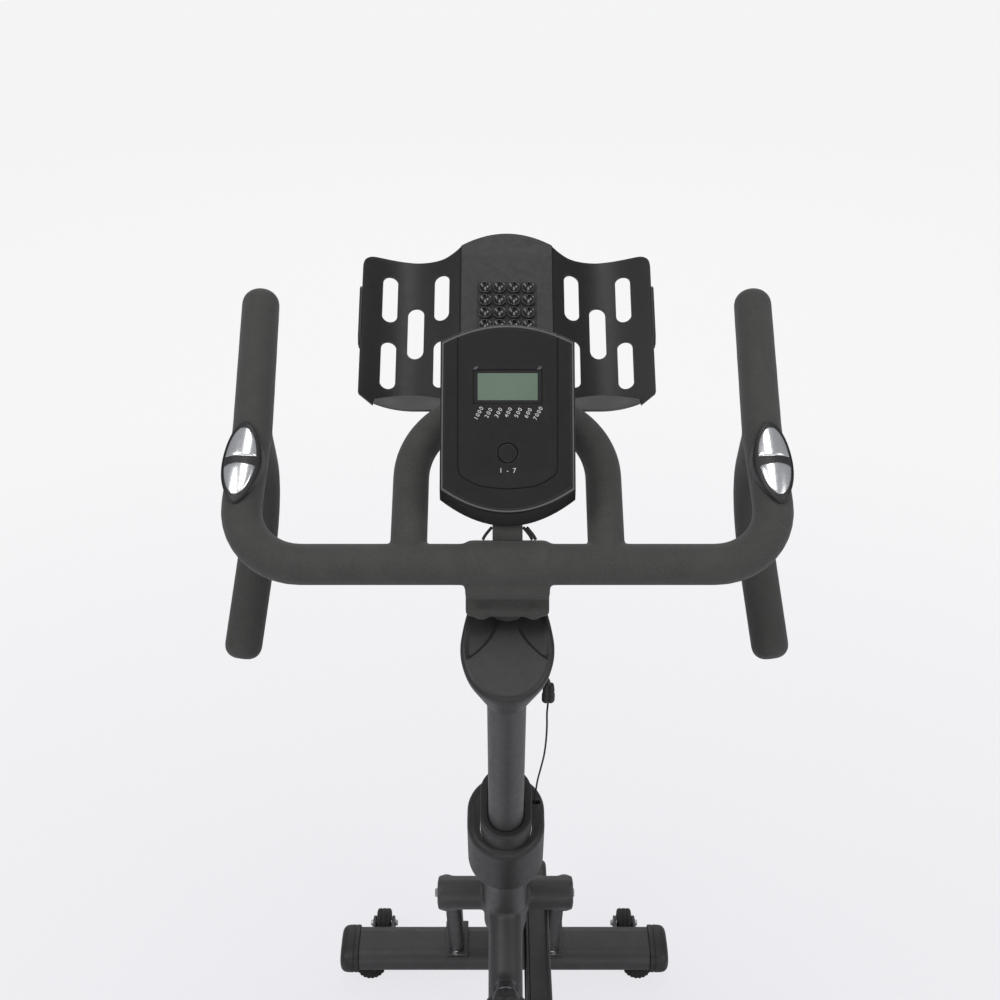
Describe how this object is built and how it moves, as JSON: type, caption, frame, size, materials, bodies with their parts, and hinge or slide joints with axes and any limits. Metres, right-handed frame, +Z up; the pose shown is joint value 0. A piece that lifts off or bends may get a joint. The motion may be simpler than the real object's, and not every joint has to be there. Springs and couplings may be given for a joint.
{
  "type": "exercise bike",
  "caption": "Indoor exercise bike with a front flywheel and belt drive, an adjustable saddle, and a multi-grip handlebar with pulse sensors, a console and a tablet holder.",
  "frame": {"origin": "middle of the bike's footprint, on the floor", "axes": "+Z up; +Y the way the rider faces; +X the rider's right; the bike is taller than long and narrowest across X"},
  "size_m": [0.5458, 1.205, 1.2532],
  "materials": {
    "foam_grip": "fine-grained soft coating",
    "black_paint": "satin black",
    "black_plastic": "fine moulded texture",
    "gloss_black": "glossy",
    "black_rubber": "matte",
    "chrome": "mirror bright",
    "bare_steel": "machined",
    "cast_iron": "machined rim, painted web",
    "alloy": "satin",
    "felt": "pressed felt",
    "lcd": "display window",
    "leather": "grained cover over foam"
  },
  "bodies": {
    "frame": {"main_frame": "black_paint", "front_stabilizer": "black_paint", "rear_stabilizer": "black_paint", "front_cap_left": "black_plastic", "front_cap_right": "black_plastic", "rear_cap_left": "black_plastic", "rear_cap_right": "black_plastic", "flywheel_axle": "bare_steel", "drive_belt": "black_rubber", "belt_cover_inner": "black_plastic", "belt_cover_outer": "black_plastic", "seat_collar": "black_plastic", "post_collar": "black_plastic", "head_tube_shroud": "black_plastic"},
    "bar_post": {"handlebar_post": "black_paint", "handlebar": "foam_grip", "post_head_cover": "black_plastic", "console_stem": "black_paint", "console_front": "black_plastic", "console_back": "black_plastic", "console_lens": "lcd", "pulse_sensor_base_left": "gloss_black", "pulse_sensor_base_right": "gloss_black", "pulse_sensor_plate_left": "chrome", "pulse_sensor_plate_right": "chrome", "pulse_lead_left": "black_rubber", "pulse_lead_right": "black_rubber", "tablet_holder": "black_plastic", "suction_pad": "gloss_black", "wire_connector": "black_rubber", "sensor_wire": "black_rubber"},
    "mode_button": {"mode_button": "black_plastic"},
    "flywheel": {"flywheel": "cast_iron", "flywheel_pulley": "alloy"},
    "crank": {"crank_spindle": "bare_steel", "crank_pulley": "alloy", "crank_arm_left": "alloy", "crank_arm_right": "alloy"},
    "pedal_left": {"pedal_left": "black_plastic", "toe_cage_left": "black_plastic"},
    "pedal_right": {"pedal_right": "black_plastic", "toe_cage_right": "black_plastic"},
    "seat_post": {"seat_post": "black_paint"},
    "seat_slider": {"seat_slider": "black_paint", "saddle_clamp": "bare_steel", "saddle_shell": "black_plastic", "saddle_pad": "leather"},
    "slider_knob": {"slider_knob": "black_plastic"},
    "post_pin": {"post_pin_knob": "black_plastic"},
    "seat_pin": {"seat_pin_knob": "black_plastic"},
    "resistance_knob": {"resistance_knob": "black_plastic"},
    "brake_shoe": {"brake_rod": "bare_steel", "brake_pad": "felt"},
    "wheel_left": {"transport_wheel_left": "black_rubber"},
    "wheel_right": {"transport_wheel_right": "black_rubber"},
    "front_foot_left": {"front_foot_left": "black_rubber"},
    "front_foot_right": {"front_foot_right": "black_rubber"},
    "rear_foot_left": {"rear_foot_left": "black_rubber"},
    "rear_foot_right": {"rear_foot_right": "black_rubber"}
  },
  "joints": [
    {"name": "handlebar_height", "type": "slide", "parent": "frame", "child": "bar_post", "axis": [0, -0.299, 0.9542], "range_m": [-0.06, 0.04]},
    {"name": "mode_button_press", "type": "slide", "parent": "bar_post", "child": "mode_button", "axis": [0, 0.848, -0.5299], "range_m": [0, 0.0015], "stiffness_N_per_m": 600, "springref_m": -0.001},
    {"name": "flywheel_spin", "type": "hinge", "parent": "frame", "child": "flywheel", "pos_m": [0, 0.4225, 0.262], "axis": [1, 0, 0], "continuous": true},
    {"name": "crank_spin", "type": "hinge", "parent": "frame", "child": "crank", "pos_m": [0, -0.1845, 0.3], "axis": [1, 0, 0], "continuous": true},
    {"name": "pedal_left_spin", "type": "hinge", "parent": "crank", "child": "pedal_left", "pos_m": [-0.122, -0.3545, 0.3], "axis": [1, 0, 0], "continuous": true},
    {"name": "pedal_right_spin", "type": "hinge", "parent": "crank", "child": "pedal_right", "pos_m": [0.122, -0.0145, 0.3], "axis": [1, 0, 0], "continuous": true},
    {"name": "saddle_height", "type": "slide", "parent": "frame", "child": "seat_post", "axis": [0, -0.309, 0.9511], "range_m": [-0.06, 0.08]},
    {"name": "saddle_fore_aft", "type": "slide", "parent": "seat_post", "child": "seat_slider", "axis": [0, 1, 0], "range_m": [-0.05, 0.05]},
    {"name": "slider_knob_turn", "type": "hinge", "parent": "seat_post", "child": "slider_knob", "pos_m": [0, -0.46655, 0.73701], "axis": [0, 0, 1], "range_deg": [0, 360]},
    {"name": "post_pin_pull", "type": "slide", "parent": "frame", "child": "post_pin", "axis": [0, 0.9542, 0.299], "range_m": [-0.0085, 0.004], "stiffness_N_per_m": 500},
    {"name": "seat_pin_pull", "type": "slide", "parent": "frame", "child": "seat_pin", "axis": [0, -0.9511, -0.309], "range_m": [-0.0085, 0.004], "stiffness_N_per_m": 500},
    {"name": "resistance_turn", "type": "hinge", "parent": "brake_shoe", "child": "resistance_knob", "pos_m": [0, 0.0875, 0.455], "axis": [0, 0.8665, -0.4992], "range_deg": [0, 1080]},
    {"name": "brake_press", "type": "slide", "parent": "frame", "child": "brake_shoe", "axis": [0, 0.8665, -0.4992], "range_m": [0, 0.0045], "stiffness_N_per_m": 800, "springref_m": -0.004},
    {"name": "wheel_left_spin", "type": "hinge", "parent": "frame", "child": "wheel_left", "pos_m": [-0.188, 0.5695, 0.032], "axis": [1, 0, 0], "continuous": true},
    {"name": "wheel_right_spin", "type": "hinge", "parent": "frame", "child": "wheel_right", "pos_m": [0.188, 0.5695, 0.032], "axis": [1, 0, 0], "continuous": true},
    {"name": "front_foot_left_turn", "type": "hinge", "parent": "frame", "child": "front_foot_left", "pos_m": [-0.205, 0.5095, 0.02], "axis": [0, 0, 1], "range_deg": [0, 720]},
    {"name": "front_foot_right_turn", "type": "hinge", "parent": "frame", "child": "front_foot_right", "pos_m": [0.205, 0.5095, 0.02], "axis": [0, 0, 1], "range_deg": [0, 720]},
    {"name": "rear_foot_left_turn", "type": "hinge", "parent": "frame", "child": "rear_foot_left", "pos_m": [-0.205, -0.5545, 0.02], "axis": [0, 0, 1], "range_deg": [0, 720]},
    {"name": "rear_foot_right_turn", "type": "hinge", "parent": "frame", "child": "rear_foot_right", "pos_m": [0.205, -0.5545, 0.02], "axis": [0, 0, 1], "range_deg": [0, 720]}
  ],
  "couplings": [
    {"joint": "crank_spin", "follows": "flywheel_spin", "ratio": 0.32844}
  ]
}
